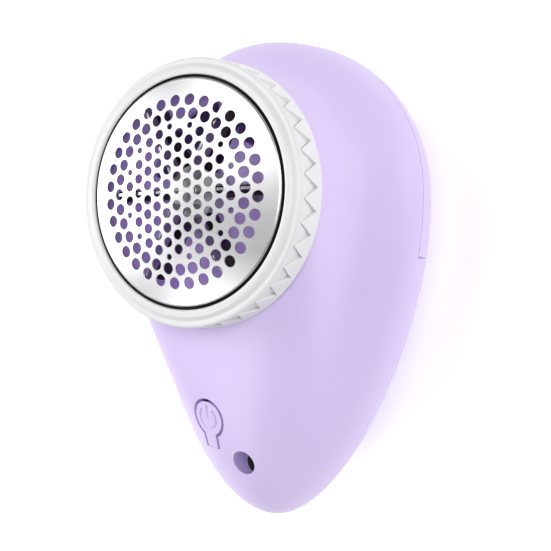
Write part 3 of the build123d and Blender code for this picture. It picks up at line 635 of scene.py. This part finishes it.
def skin_copy(name, node, reference, longest):
    """Copy of a shell from the frame with its outer skin made dense and truly smooth."""
    build = bmesh.new()
    build.from_mesh(frame["nodes"][node].data)
    bmesh.ops.remove_doubles(build, verts=build.verts, dist=JOIN_DISTANCE)
    if node == "power_button":
        close_root(build, bpy.context.scene.shaver_button)
    for _ in range(SKIN_PASSES):
        answers, outer = outer_faces(build, reference)
        edges = {e for f in outer for e in f.edges if e.calc_length() > longest}
        if not edges:
            break
        bmesh.ops.subdivide_edges(build, edges=list(edges), cuts=1)
        bmesh.ops.triangulate(build, faces=[f for f in build.faces if len(f.verts) > 3])
    answers, outer = outer_faces(build, reference)
    parting = bpy.context.scene.shaver_skin.parting
    for vert in {v for f in outer for v in f.verts}:
        spot = answers[vert][0]
        flat = vert.co.z < FLAT_MARGIN or abs(vert.co.z - parting) < SEAM_MARGIN
        vert.co = Vector((spot.x, spot.y, vert.co.z)) if flat else spot
    build.faces.index_update()
    build.verts.index_update()
    marked = {f.index for f in outer}
    smooth = {v.index: answers[v][1].copy() for f in outer for v in f.verts}
    mesh = bpy.data.meshes.new(name)
    build.to_mesh(mesh)
    build.free()
    piece = new_object(name, mesh)
    smooth_by_angle(mesh, SKIN_SHARP)
    corners = [n.vector.copy() for n in mesh.corner_normals]
    for polygon in mesh.polygons:
        if polygon.index in marked:
            for loop in polygon.loop_indices:
                corners[loop] = smooth[mesh.loops[loop].vertex_index]
    mesh.normals_split_custom_set(corners)
    return piece


class SHAVER_OT_body(bpy.types.Operator):
    """Front shell, rear shell, lint bin and power button with a smooth skin"""

    bl_idname = "shaver.body"
    bl_label = "Body"

    def execute(self, context):
        sizes = context.scene.shaver_skin
        reference = SkinReference(sizes)
        for node in ("front_shell", "rear_shell", "lint_bin", "power_button"):
            keep(skin_copy(f"{node}_skin", node, reference, sizes.edge), node)
        return {"FINISHED"}


# ---------------------------------------------------------------- grip ring
def arc(centre, radius, start, end, steps):
    """Points of an arc in the ring's (radius, height) plane, angles in degrees."""
    cx, cz = centre
    points = []
    for i in range(steps + 1):
        angle = math.radians(start + (end - start) * i / steps)
        points.append((cx + radius * math.cos(angle), cz + radius * math.sin(angle)))
    return points


# Corner at the ring's foot, softness of the step's crest, height over which the step recovers
FOOT_ROUND = 0.4 * MM
CREST = 0.07 * MM
RECOVERY = 0.2 * MM
# Share of the crest's softness at which its corner is broken
CREST_BREAK = 0.3
# Mesh steps at the foot's corner, between foot and crest, and from the crest to the lip
FOOT_STEPS = 4
LOW_STEPS = 5
SIDE_STEPS = 8
# Height ahead of the roots in which the step fades, thickness of the lip, width of the shaded wall
FADE = 0.5 * MM
LIP_THICKNESS = 1.3 * MM
SHADED_WALL = 0.3 * MM
# Lip of the ring from its side to the foil's opening: inwards from the outside, down from the top
LIP_SHAPE = (
    (0.0, 1.75), (0.12, 1.34), (0.35, 1.08), (0.68, 0.96), (1.0, 0.99),
    (1.28, 1.02), (1.55, 0.92), (1.82, 0.66), (2.15, 0.36), (2.5, 0.14),
    (3.0, 0.02), (3.4, 0.03), (3.72, 0.14), (3.92, 0.34), (4.0, 0.62),
)


def rounded(points, steps=3):
    """Smooth curve through every point of a profile."""
    curve = []
    for i in range(len(points) - 1):
        near = [max(0, min(len(points) - 1, i + k)) for k in (-1, 0, 1, 2)]
        before, start, end, after = (points[j] for j in near)
        for step in range(steps):
            t = step / steps
            point = []
            for a, b, c, d in zip(before, start, end, after):
                square = (2 * a - 5 * b + 4 * c - d) * t**2
                cube = (3 * b - a - 3 * c + d) * t**3
                point.append(0.5 * (2 * b + (c - a) * t + square + cube))
            curve.append(tuple(point))
    return curve + [points[-1]]


def tooth_profile(sizes, offset):
    """Section of the ring within a tooth; offset is 0 at its rear corner and 1 at its front corners."""
    line = sizes.tooth_rear + (sizes.tooth_front - sizes.tooth_rear) * offset
    reach = sizes.tooth_front - sizes.tooth_rear
    slope = (sizes.tooth_depth - sizes.root_depth) / reach

    def ahead(height):
        past = max(0.0, height - sizes.tooth_front) * sizes.root_depth / FADE
        depth = sizes.root_depth + slope * max(0.0, sizes.tooth_front - height)
        return sizes.radius - max(0.0, depth - past)

    low = sizes.foot + FOOT_ROUND
    profile = [(sizes.bore, sizes.foot)]
    profile += arc((sizes.radius - FOOT_ROUND, low), FOOT_ROUND, -90, 0, FOOT_STEPS)
    for i in range(1, LOW_STEPS + 1):
        profile.append((sizes.radius, low + (line - CREST - low) * i / LOW_STEPS))
    depth = sizes.radius - ahead(line)
    profile.append((sizes.radius - CREST_BREAK * CREST, line - CREST_BREAK * CREST))
    profile.append((sizes.radius - CREST, line))
    profile.append((sizes.radius - depth - sizes.groove, line + CREST))
    recover = line + CREST + RECOVERY
    profile.append((ahead(recover), recover))
    side_top = sizes.top - LIP_SHAPE[0][1] * MM
    for i in range(1, SIDE_STEPS + 1):
        height = recover + (side_top - recover) * i / SIDE_STEPS
        profile.append((ahead(height), height))
    lip = [(sizes.radius - inwards * MM, sizes.top - down * MM) for inwards, down in LIP_SHAPE]
    profile += rounded(lip)[1:]
    seat = sizes.top - LIP_THICKNESS
    profile += [(sizes.lip, seat), (sizes.bore, seat)]
    return profile


def tooth_mesh(sizes):
    """One tooth of the ring, closed in section and open at its two sides."""
    half = math.pi / sizes.teeth
    points, faces = [], []
    for column in range(sizes.columns + 1):
        turn = -1 + 2 * column / sizes.columns
        profile = tooth_profile(sizes, abs(turn))
        angle = turn * half
        points += [(r * math.cos(angle), r * math.sin(angle), z) for r, z in profile]
    count = len(points) // (sizes.columns + 1)
    for column in range(sizes.columns):
        for i in range(count):
            j = (i + 1) % count
            low, high = column * count, (column + 1) * count
            faces.append((low + i, high + i, high + j, low + j))
    mesh = bpy.data.meshes.new("ring_tooth")
    mesh.from_pydata(points, [], faces)
    return mesh


def around_tree():
    """Geometry Nodes: copies of a sector round the head axis, welded into one ring."""
    tree, given = new_group(
        "Sectors round an axis",
        "GeometryNodeTree",
        [
            ("Geometry", "NodeSocketGeometry", None),
            ("Count", "NodeSocketInt", 36),
            ("Weld", "NodeSocketFloat", 0.00002),
            ("Material", "NodeSocketMaterial", None),
        ],
        [("Geometry", "NodeSocketGeometry")],
    )
    points = add(tree, "GeometryNodePoints", {"Count": given.outputs["Count"]})
    index = add(tree, "GeometryNodeInputIndex").outputs[0]
    step = maths(tree, "DIVIDE", 2 * math.pi, given.outputs["Count"])
    turn = add(tree, "ShaderNodeCombineXYZ", {"Z": maths(tree, "MULTIPLY", index, step)})
    copies = add(
        tree,
        "GeometryNodeInstanceOnPoints",
        {"Points": points.outputs[0], "Instance": given.outputs["Geometry"], "Rotation": turn.outputs[0]},
    )
    real = add(tree, "GeometryNodeRealizeInstances", {"Geometry": copies.outputs[0]})
    gap = given.outputs["Weld"]
    weld = add(tree, "GeometryNodeMergeByDistance", {"Geometry": real.outputs[0], "Distance": gap})
    return finish_tree(tree, weld.outputs[0], given)


def paint_gap_shadow(mesh, faces):
    """Gives faces deep in the gap between foil and ring a painted shadow: the black of the shade that falls
    there.
    """
    mesh.materials.append(finish_materials()["gap"])
    for face in faces:
        face.material_index = len(mesh.materials) - 1


class SHAVER_OT_ring(bpy.types.Operator):
    """Grip ring whose teeth are copies of one sector"""

    bl_idname = "shaver.ring"
    bl_label = "Grip ring"

    def execute(self, context):
        sizes = context.scene.shaver_ring
        piece = new_object("grip_ring_moulding", tooth_mesh(sizes))
        nodes = piece.modifiers.new("teeth", "NODES")
        nodes.node_group = around_tree()
        set_input(nodes, "Count", sizes.teeth)
        set_input(nodes, "Material", finish_materials()["white_plastic"])
        mesh = plain_mesh(piece)
        outward(mesh)
        # Painted shadow on the wall of the opening, low down round the foil
        edge = sizes.lip + SHADED_WALL
        low = [p for p in mesh.polygons if p.center.z < sizes.gap_top]
        paint_gap_shadow(mesh, [p for p in low if p.center.xy.length < edge])
        smooth_by_angle(mesh, RING_SHARP)
        keep(piece, "grip_ring")
        return {"FINISHED"}


# ---------------------------------------------------------------- foil
# Angle in degrees at which the rolled rim leaves the dome, and its mesh steps outside and inside
ROLL_START = 75
OUTER_STEPS = 6
INNER_STEPS = 4
# Two grids of holes, shifted by half a pitch, hold the middle field: columns and rows
FIELD_GRIDS = ((7, 11), (6, 10))
# Squares of a hole's distance in pitches: left out past the first, small past the second and below the third
FIELD_LIMIT = 21.5
CORNER_LIMIT = 20.0
CENTRE_LIMIT = 0.5
# A face within this cosine of the dome's normal, and this far past its edge, is part of the dome
DOME_FACING = 0.97
DOME_MARGIN = 0.01 * MM
# Width of the rim's shaded edge
SHADED_EDGE = 0.25 * MM


def foil_sphere(sizes):
    """Radius and centre height of the foil's dome."""
    radius = (sizes.radius**2 + sizes.rise**2) / (2 * sizes.rise)
    return radius, RIM_HEIGHT + sizes.rise - radius


def sheet_profile(sizes, steps=14):
    """Closed section of the foil: dome, rolled rim, skirt, flange and back again."""
    radius, centre = foil_sphere(sizes)
    inner = radius - sizes.sheet
    edge = sizes.radius - sizes.roll
    dome = [edge * i / steps for i in range(1, steps + 1)]
    outside = [(r, centre + math.sqrt(radius**2 - r**2)) for r in dome]
    drop = outside[-1][1] - sizes.roll
    outside += arc((edge, drop), sizes.roll, ROLL_START, 0, OUTER_STEPS)
    outside += [(sizes.radius, sizes.foot + sizes.sheet), (sizes.flange, sizes.foot + sizes.sheet)]
    inside = [(sizes.flange, sizes.foot), (sizes.radius - sizes.sheet, sizes.foot)]
    inside += arc((edge, drop), sizes.roll - sizes.sheet, 0, ROLL_START, INNER_STEPS)
    inside += [(r, centre + math.sqrt(inner**2 - r**2)) for r in reversed(dome[:-1])]
    top = (0, centre + radius)
    bottom = (0, centre + inner)
    return [top] + outside, inside + [bottom]


def sheet_mesh(sizes, around=160):
    """The foil before its holes are punched."""
    outside, inside = sheet_profile(sizes)
    profile = outside[1:] + inside[:-1]
    points, faces = [], []
    count = len(profile)
    for i in range(around):
        angle = 2 * math.pi * i / around
        points += [(r * math.cos(angle), r * math.sin(angle), z) for r, z in profile]
    for i in range(around):
        low, high = i * count, (i + 1) % around * count
        for j in range(count - 1):
            faces.append((low + j, low + j + 1, high + j + 1, high + j))
    crown, under = len(points), len(points) + 1
    points += [(0, 0, outside[0][1]), (0, 0, inside[-1][1])]
    for i in range(around):
        low, high = i * count, (i + 1) % around * count
        faces.append((crown, low, high))
        faces.append((under, high + count - 1, low + count - 1))
    mesh = bpy.data.meshes.new("foil_sheet")
    mesh.from_pydata(points, [], faces)
    outward(mesh)
    return mesh


def punched_tree():
    """Geometry Nodes: punches a field of holes and two rings of larger ones through a sheet."""
    tree, given = new_group(
        "Punched field",
        "GeometryNodeTree",
        [
            ("Geometry", "NodeSocketGeometry", None),
            ("Pitch", "NodeSocketFloat", 0.0032),
            ("Middle radius", "NodeSocketFloat", 0.0011),
            ("Small radius", "NodeSocketFloat", 0.0007),
            ("Ring radius", "NodeSocketFloat", 0.0013),
            ("Outer circle", "NodeSocketFloat", 0.0204),
            ("Inner circle", "NodeSocketFloat", 0.0173),
            ("Ring count", "NodeSocketInt", 32),
            ("Height", "NodeSocketFloat", 0.06),
            ("Depth", "NodeSocketFloat", 0.012),
            ("Material", "NodeSocketMaterial", None),
        ],
        [("Geometry", "NodeSocketGeometry")],
    )
    pitch = given.outputs["Pitch"]
    wide = maths(tree, "MULTIPLY", pitch, math.sqrt(3))
    grids = []
    for columns, rows in FIELD_GRIDS:
        grid = add(
            tree,
            "GeometryNodeMeshGrid",
            {
                "Size X": maths(tree, "MULTIPLY", wide, columns - 1),
                "Size Y": maths(tree, "MULTIPLY", pitch, rows - 1),
                "Vertices X": columns,
                "Vertices Y": rows,
            },
        )
        grids.append(grid.outputs["Mesh"])
    field = add(tree, "GeometryNodeJoinGeometry")
    for grid in grids:
        tree.links.new(grid, field.inputs[0])
    dots = add(tree, "GeometryNodeMeshToPoints", {"Mesh": field.outputs[0]}).outputs[0]
    spot = add(tree, "GeometryNodeInputPosition").outputs[0]
    far = add(tree, "ShaderNodeVectorMath", {0: spot}, operation="LENGTH").outputs["Value"]
    norm = maths(tree, "POWER", maths(tree, "DIVIDE", far, pitch), 2.0)
    outside = maths(tree, "GREATER_THAN", norm, FIELD_LIMIT)
    values = {"Geometry": dots, "Selection": outside}
    dots = add(tree, "GeometryNodeDeleteGeometry", values, domain="POINT")
    centre = maths(tree, "LESS_THAN", norm, CENTRE_LIMIT)
    small = maths(tree, "MAXIMUM", centre, maths(tree, "GREATER_THAN", norm, CORNER_LIMIT))
    middle_radius = add(
        tree,
        "ShaderNodeMix",
        {"Factor": small, "A": given.outputs["Middle radius"], "B": given.outputs["Small radius"]},
        data_type="FLOAT",
    ).outputs[0]
    drill = add(
        tree,
        "GeometryNodeMeshCylinder",
        {"Vertices": 32, "Radius": 1.0, "Depth": given.outputs["Depth"]},
    ).outputs["Mesh"]
    punches = add(tree, "GeometryNodeJoinGeometry")
    sets = [(dots.outputs[0], middle_radius)]
    for circle, phase in (("Outer circle", 0.5), ("Inner circle", 0.0)):
        ring = add(
            tree,
            "GeometryNodeMeshCircle",
            {"Vertices": given.outputs["Ring count"], "Radius": given.outputs[circle]},
        ).outputs[0]
        step = maths(tree, "DIVIDE", 2 * math.pi, given.outputs["Ring count"])
        turn = add(tree, "ShaderNodeCombineXYZ", {"Z": maths(tree, "MULTIPLY", step, phase)}).outputs[0]
        turned = add(tree, "GeometryNodeTransform", {"Geometry": ring, "Rotation": turn}).outputs[0]
        spots = add(tree, "GeometryNodeMeshToPoints", {"Mesh": turned}).outputs[0]
        sets.append((spots, given.outputs["Ring radius"]))
    for spots, radius in sets:
        size = add(tree, "ShaderNodeCombineXYZ", {"X": radius, "Y": radius, "Z": 1.0}).outputs[0]
        values = {"Points": spots, "Instance": drill, "Scale": size}
        copies = add(tree, "GeometryNodeInstanceOnPoints", values)
        tree.links.new(copies.outputs[0], punches.inputs[0])
    lift = add(tree, "ShaderNodeCombineXYZ", {"Z": given.outputs["Height"]}).outputs[0]
    lifted = add(tree, "GeometryNodeTransform", {"Geometry": punches.outputs[0], "Translation": lift})
    solid = add(tree, "GeometryNodeRealizeInstances", {"Geometry": lifted.outputs[0]})
    cut = add(
        tree,
        "GeometryNodeMeshBoolean",
        {"Mesh 1": given.outputs["Geometry"], "Mesh 2": solid.outputs[0]},
        operation="DIFFERENCE",
        solver="EXACT",
    )
    real = add(tree, "GeometryNodeRealizeInstances", {"Geometry": cut.outputs["Mesh"]})
    return finish_tree(tree, real.outputs[0], given)


def dome_normals(mesh, sizes):
    """Gives the dome's faces the normals of the true sphere, so that the holes leave no dents."""
    _, centre = foil_sphere(sizes)
    middle = Vector((0, 0, centre))
    corners = [n.vector.copy() for n in mesh.corner_normals]
    limit = sizes.radius - sizes.roll + DOME_MARGIN
    for polygon in mesh.polygons:
        radial = (polygon.center - middle).normalized()
        facing = polygon.normal.dot(radial)
        if abs(facing) < DOME_FACING or polygon.center.xy.length > limit:
            continue
        side = 1 if facing > 0 else -1
        for loop in polygon.loop_indices:
            point = mesh.vertices[mesh.loops[loop].vertex_index].co
            corners[loop] = side * (point - middle).normalized()
    mesh.normals_split_custom_set(corners)


class SHAVER_OT_foil(bpy.types.Operator):
    """Domed steel foil, punched with its two rings and its middle field of holes"""

    bl_idname = "shaver.foil"
    bl_label = "Foil"

    def execute(self, context):
        sizes = context.scene.shaver_foil
        piece = new_object("foil_sheet", sheet_mesh(sizes))
        nodes = piece.modifiers.new("holes", "NODES")
        nodes.node_group = punched_tree()
        values = {
            "Pitch": sizes.pitch,
            "Middle radius": sizes.middle_hole / 2,
            "Small radius": sizes.small_hole / 2,
            "Ring radius": sizes.ring_hole / 2,
            "Outer circle": sizes.outer_circle,
            "Inner circle": sizes.inner_circle,
            "Ring count": sizes.ring_count,
            "Height": RIM_HEIGHT,
            "Material": finish_materials()["foil_steel"],
        }
        for label, value in values.items():
            set_input(nodes, label, value)
        mesh = plain_mesh(piece)
        # Painted shadow on the foil's edge, low down in the gap
        edge = sizes.radius - SHADED_EDGE
        low = [p for p in mesh.polygons if p.center.z < sizes.gap_top]
        paint_gap_shadow(mesh, [p for p in low if p.center.xy.length > edge])
        smooth_by_angle(mesh, FOIL_SHARP)
        dome_normals(mesh, sizes)
        keep(piece, "foil")
        return {"FINISHED"}


# ---------------------------------------------------------------- pieces cleaned from the frame
def clean_copy(node):
    """Copy of a CAD node with its flats joined and smooth shading."""
    build = bmesh.new()
    build.from_mesh(frame["nodes"][node].data)
    bmesh.ops.remove_doubles(build, verts=build.verts, dist=JOIN_DISTANCE)
    limit = math.radians(FLAT_ANGLE)
    bmesh.ops.dissolve_limit(build, angle_limit=limit, verts=build.verts, edges=build.edges)
    mesh = bpy.data.meshes.new(f"{node}_piece")
    build.to_mesh(mesh)
    build.free()
    piece = new_object(f"{node}_piece", mesh)
    smooth_by_angle(mesh, PIECE_SHARP)
    return keep(piece, node)


class SHAVER_OT_cutter(bpy.types.Operator):
    """Cutter hub, blades, cap, spring and drive collar"""

    bl_idname = "shaver.cutter"
    bl_label = "Cutter"

    def execute(self, context):
        for node in ("cutter_blades", "hub_cap", "cutter_spring", "drive_collar"):
            clean_copy(node)
        hub = clean_copy("cutter_hub")
        hub.data.materials.append(moulded("Hub arms", tuple(context.scene.shaver_finish.arms), 0.4, tone=0.3))
        for polygon in hub.data.polygons:
            if polygon.center.xy.length > context.scene.shaver_cutter.hub_radius:
                polygon.material_index = 1
        return {"FINISHED"}


class SHAVER_OT_drive(bpy.types.Operator):
    """Lint chamber, foil retainer and the motor with its sleeve"""

    bl_idname = "shaver.drive"
    bl_label = "Drive"

    def execute(self, context):
        for node in (
            "foil_retainer",
            "motor_can",
            "motor_end_cap",
            "motor_magnets",
            "motor_armature",
            "motor_bush",
            "motor_shaft",
            "motor_screws",
            "motor_housing",
        ):
            clean_copy(node)
        chamber = clean_copy("cutter_chamber")
        # The lint chamber gets the painted glow
        chamber.data.materials[0] = finish_materials()["chamber"]
        return {"FINISHED"}


class SHAVER_OT_power(bpy.types.Operator):
    """Cell, board, switch and charging socket"""

    bl_idname = "shaver.power"
    bl_label = "Power"

    def execute(self, context):
        for node in (
            "battery_cell",
            "battery_sleeve",
            "battery_tabs",
            "board_tray",
            "circuit_board",
            "board_screws",
            "switch_body",
            "switch_plunger",
            "charge_socket",
            "case_screws",
        ):
            clean_copy(node)
        return {"FINISHED"}


# ---------------------------------------------------------------- stage
def soft_box(name, spot, target, size, power):
    """Square white lamp at one spot, facing a target."""
    data = bpy.data.lights.new(name, "AREA")
    data.size = size
    data.energy = power
    lamp = bpy.data.objects.new(name, data)
    bpy.context.scene.collection.objects.link(lamp)
    lamp.location = spot
    lamp.rotation_euler = (target - spot).to_track_quat("-Z", "Y").to_euler()


WHITE = (1, 1, 1, 1)
CLIP_START = 10 * MM
# Soft boxes one metre from the lit point: name, direction and power in watts
LIT_POINT = Vector((0, -0.01, 0.03))
SOFT_BOXES = (
    ("left", (-0.86, 0.13, 0.5), 3.6),
    ("left_low", (-0.43, -0.56, 0.71), 2.8),
    ("up", (-0.25, 0.43, 0.87), 2.6),
    ("right", (0.97, 0.26, 0.1), 3.1),
    ("front", (0.5, 0.1, 0.86), 3.8),
    ("below", (0.1, -0.95, 0.3), 0.4),
)


class SHAVER_OT_stage(bpy.types.Operator):
    """Pale floor, soft lights and the camera"""

    bl_idname = "shaver.stage"
    bl_label = "Stage"

    def execute(self, context):
        settings = context.scene.shaver_stage
        self.floor(settings)
        self.lights(context, settings)
        self.camera(context, settings)
        return {"FINISHED"}

    def floor(self, settings):
        build = bmesh.new()
        bmesh.ops.create_circle(build, cap_ends=True, segments=64, radius=settings.floor_radius)
        mesh = bpy.data.meshes.new("floor")
        build.to_mesh(mesh)
        build.free()
        floor = new_object("floor", mesh)
        glow = {"Emission_Color": WHITE, "Emission_Strength": settings.floor_glow}
        material, tree, shader = surface("Pale floor", Roughness=0.9, **glow)
        shade = grouped(tree, "Tone drift", Color=tuple(settings.floor), Amount=0.01)
        tree.links.new(shade.outputs["Color"], shader.inputs["Base Color"])
        mesh.materials.append(material)

    def lights(self, context, settings):
        for name, direction, power in SOFT_BOXES:
            spot = LIT_POINT + Vector(direction).normalized()
            soft_box(name, spot, LIT_POINT, settings.box_size, power)
        world = bpy.data.worlds.new("studio")
        world.use_nodes = True
        background = world.node_tree.nodes["Background"]
        background.inputs["Color"].default_value = WHITE
        background.inputs["Strength"].default_value = settings.sky
        context.scene.world = world
        context.scene.view_settings.view_transform = "Standard"

    def camera(self, context, settings):
        around, tilt = math.radians(settings.azimuth), math.radians(settings.elevation)
        flat = math.cos(tilt)
        back = Vector((math.sin(around) * flat, math.sin(tilt), math.cos(around) * flat))
        right = Vector((0, 1, 0)).cross(back).normalized()
        up = back.cross(right)
        target = Vector((0, 0, RIM_HEIGHT)) + right * settings.shift_right - up * settings.shift_up
        data = bpy.data.cameras.new("camera")
        data.lens = settings.lens
        data.sensor_width = settings.sensor
        data.clip_start = CLIP_START
        camera = bpy.data.objects.new("camera", data)
        context.scene.collection.objects.link(camera)
        turn = Matrix((right, up, back)).transposed().to_4x4()
        camera.matrix_world = Matrix.Translation(target + back * settings.distance) @ turn
        context.scene.camera = camera


OPERATORS = (
    SHAVER_OT_body,
    SHAVER_OT_ring,
    SHAVER_OT_foil,
    SHAVER_OT_cutter,
    SHAVER_OT_drive,
    SHAVER_OT_power,
    SHAVER_OT_stage,
)


class SHAVER_PT_panel(bpy.types.Panel):
    """Lists every step of the shaver's making"""

    bl_idname = "SHAVER_PT_panel"
    bl_label = "Fabric shaver"
    bl_space_type = "VIEW_3D"
    bl_region_type = "UI"
    bl_category = "Shaver"

    def draw(self, context):
        for operator in OPERATORS:
            self.layout.operator(operator.bl_idname)


def register():
    for name, group in GROUPS.items():
        bpy.utils.register_class(group)
        setattr(bpy.types.Scene, name, PointerProperty(type=group))
    for made in (*OPERATORS, SHAVER_PT_panel):
        bpy.utils.register_class(made)


def unregister():
    for made in reversed((*OPERATORS, SHAVER_PT_panel)):
        bpy.utils.unregister_class(made)
    for name, group in GROUPS.items():
        delattr(bpy.types.Scene, name)
        bpy.utils.unregister_class(group)


def main():
    register()
    for operator in OPERATORS:
        group, name = operator.bl_idname.split(".")
        getattr(getattr(bpy.ops, group), name)()


if __name__ == "__main__":
    main()
